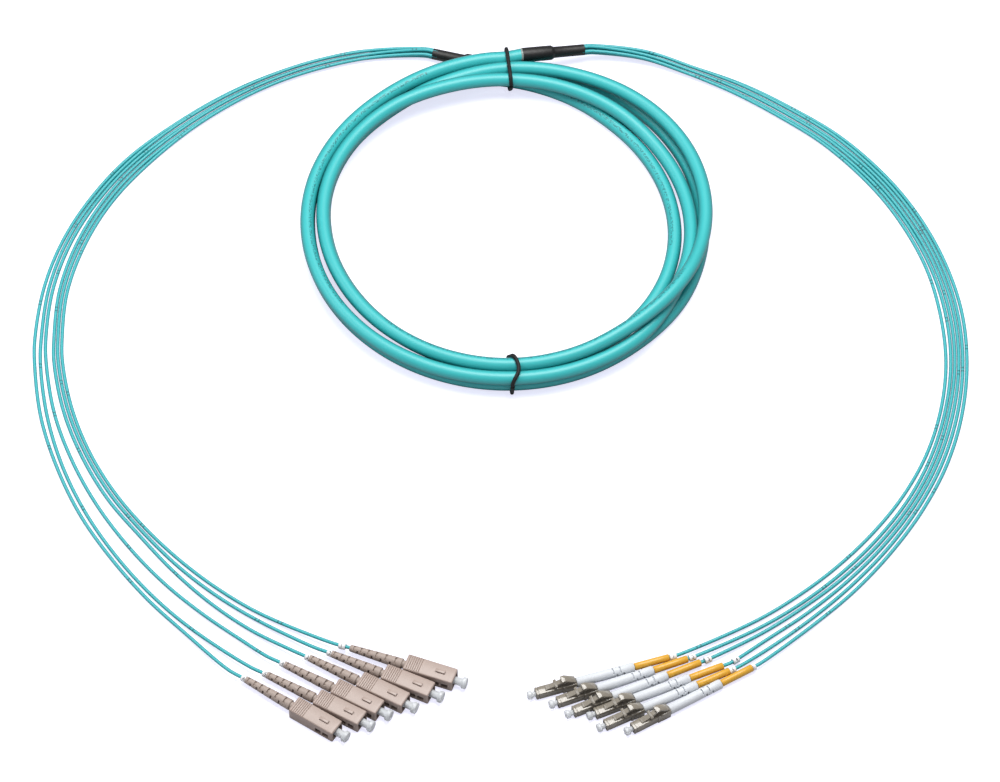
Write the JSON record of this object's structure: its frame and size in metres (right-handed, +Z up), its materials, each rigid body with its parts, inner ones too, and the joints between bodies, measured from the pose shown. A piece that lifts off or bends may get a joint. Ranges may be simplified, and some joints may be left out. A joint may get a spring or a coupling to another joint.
{
  "type": "breakout fibre patch cord with sc and lc plugs",
  "caption": "Coiled aqua trunk cable that fans out through black breakout sleeves into numbered thin legs, with capped SC plugs at one end and capped LC plugs at the other",
  "frame": {"origin": "On the floor under the middle of the plugs, breakout sleeves and ties, at z = 0.", "axes": "+Z up. +Y from the plugs to the coil. +X to the right as the picture shows the cord: SC plugs at -X, LC plugs at +X, both fans open towards -Y."},
  "size_m": [0.4708, 0.4304, 0.0168],
  "materials": {
    "trunk_jacket": "satin aqua cable jacket",
    "tie": "black plastic",
    "heat_shrink": "black heat-shrink",
    "leg_jacket": "satin aqua leg jacket",
    "sc_plug": "beige moulded boot and plug frame",
    "sc_grip": "beige moulded grip",
    "dust_cap": "milky clear dust cap",
    "lc_body": "grey-beige moulded body",
    "lc_boot": "white moulded boot",
    "lc_sleeve": "golden yellow sleeve"
  },
  "bodies": {
    "cord": {"trunk_coil": "trunk_jacket", "coil_tie_top": "tie", "coil_tie_bottom": "tie", "sc_breakout_sleeve": "heat_shrink", "lc_breakout_sleeve": "heat_shrink", "sc_leg_1": "leg_jacket", "sc_plug_1": "sc_plug", "lc_leg_1": "leg_jacket", "lc_body_1": "lc_body", "lc_boot_1": "lc_boot", "lc_sleeve_1": "lc_sleeve", "sc_leg_2": "leg_jacket", "sc_plug_2": "sc_plug", "lc_leg_2": "leg_jacket", "lc_body_2": "lc_body", "lc_boot_2": "lc_boot", "lc_sleeve_2": "lc_sleeve", "sc_leg_3": "leg_jacket", "sc_plug_3": "sc_plug", "lc_leg_3": "leg_jacket", "lc_body_3": "lc_body", "lc_boot_3": "lc_boot", "lc_sleeve_3": "lc_sleeve", "sc_leg_4": "leg_jacket", "sc_plug_4": "sc_plug", "lc_leg_4": "leg_jacket", "lc_body_4": "lc_body", "lc_boot_4": "lc_boot", "lc_sleeve_4": "lc_sleeve", "sc_leg_5": "leg_jacket", "sc_plug_5": "sc_plug", "lc_leg_5": "leg_jacket", "lc_body_5": "lc_body", "lc_boot_5": "lc_boot", "lc_sleeve_5": "lc_sleeve", "sc_leg_6": "leg_jacket", "sc_plug_6": "sc_plug", "lc_leg_6": "leg_jacket", "lc_body_6": "lc_body", "lc_boot_6": "lc_boot", "lc_sleeve_6": "lc_sleeve"},
    "sc_grip_1": {"sc_grip_1": "sc_grip"},
    "sc_cap_1": {"sc_cap_1": "dust_cap"},
    "sc_grip_2": {"sc_grip_2": "sc_grip"},
    "sc_cap_2": {"sc_cap_2": "dust_cap"},
    "sc_grip_3": {"sc_grip_3": "sc_grip"},
    "sc_cap_3": {"sc_cap_3": "dust_cap"},
    "sc_grip_4": {"sc_grip_4": "sc_grip"},
    "sc_cap_4": {"sc_cap_4": "dust_cap"},
    "sc_grip_5": {"sc_grip_5": "sc_grip"},
    "sc_cap_5": {"sc_cap_5": "dust_cap"},
    "sc_grip_6": {"sc_grip_6": "sc_grip"},
    "sc_cap_6": {"sc_cap_6": "dust_cap"},
    "lc_cap_1": {"lc_cap_1": "dust_cap"},
    "lc_cap_2": {"lc_cap_2": "dust_cap"},
    "lc_cap_3": {"lc_cap_3": "dust_cap"},
    "lc_cap_4": {"lc_cap_4": "dust_cap"},
    "lc_cap_5": {"lc_cap_5": "dust_cap"},
    "lc_cap_6": {"lc_cap_6": "dust_cap"}
  },
  "joints": [
    {"name": "sc_grip_1_slide", "type": "slide", "parent": "cord", "child": "sc_grip_1", "axis": [-0.9397, 0.342, 0], "range_m": [0, 0.0015]},
    {"name": "sc_cap_1_pull", "type": "slide", "parent": "cord", "child": "sc_cap_1", "axis": [0.9397, -0.342, 0], "range_m": [0, 0.008]},
    {"name": "sc_grip_2_slide", "type": "slide", "parent": "cord", "child": "sc_grip_2", "axis": [-0.9063, 0.4226, 0], "range_m": [0, 0.0015]},
    {"name": "sc_cap_2_pull", "type": "slide", "parent": "cord", "child": "sc_cap_2", "axis": [0.9063, -0.4226, 0], "range_m": [0, 0.008]},
    {"name": "sc_grip_3_slide", "type": "slide", "parent": "cord", "child": "sc_grip_3", "axis": [-0.8746, 0.4848, 0], "range_m": [0, 0.0015]},
    {"name": "sc_cap_3_pull", "type": "slide", "parent": "cord", "child": "sc_cap_3", "axis": [0.8746, -0.4848, 0], "range_m": [0, 0.008]},
    {"name": "sc_grip_4_slide", "type": "slide", "parent": "cord", "child": "sc_grip_4", "axis": [-0.8686, 0.4955, 0], "range_m": [0, 0.0015]},
    {"name": "sc_cap_4_pull", "type": "slide", "parent": "cord", "child": "sc_cap_4", "axis": [0.8686, -0.4955, 0], "range_m": [0, 0.008]},
    {"name": "sc_grip_5_slide", "type": "slide", "parent": "cord", "child": "sc_grip_5", "axis": [-0.866, 0.5, 0], "range_m": [0, 0.0015]},
    {"name": "sc_cap_5_pull", "type": "slide", "parent": "cord", "child": "sc_cap_5", "axis": [0.866, -0.5, 0], "range_m": [0, 0.008]},
    {"name": "sc_grip_6_slide", "type": "slide", "parent": "cord", "child": "sc_grip_6", "axis": [-0.8329, 0.5534, 0], "range_m": [0, 0.0015]},
    {"name": "sc_cap_6_pull", "type": "slide", "parent": "cord", "child": "sc_cap_6", "axis": [0.8329, -0.5534, 0], "range_m": [0, 0.008]},
    {"name": "lc_cap_1_pull", "type": "slide", "parent": "cord", "child": "lc_cap_1", "axis": [-0.9521, -0.3057, 0], "range_m": [0, 0.008]},
    {"name": "lc_cap_2_pull", "type": "slide", "parent": "cord", "child": "lc_cap_2", "axis": [-0.9304, -0.3665, 0], "range_m": [0, 0.008]},
    {"name": "lc_cap_3_pull", "type": "slide", "parent": "cord", "child": "lc_cap_3", "axis": [-0.9092, -0.4163, 0], "range_m": [0, 0.008]},
    {"name": "lc_cap_4_pull", "type": "slide", "parent": "cord", "child": "lc_cap_4", "axis": [-0.915, -0.4035, 0], "range_m": [0, 0.008]},
    {"name": "lc_cap_5_pull", "type": "slide", "parent": "cord", "child": "lc_cap_5", "axis": [-0.891, -0.454, 0], "range_m": [0, 0.008]},
    {"name": "lc_cap_6_pull", "type": "slide", "parent": "cord", "child": "lc_cap_6", "axis": [-0.8607, -0.509, 0], "range_m": [0, 0.008]}
  ]
}
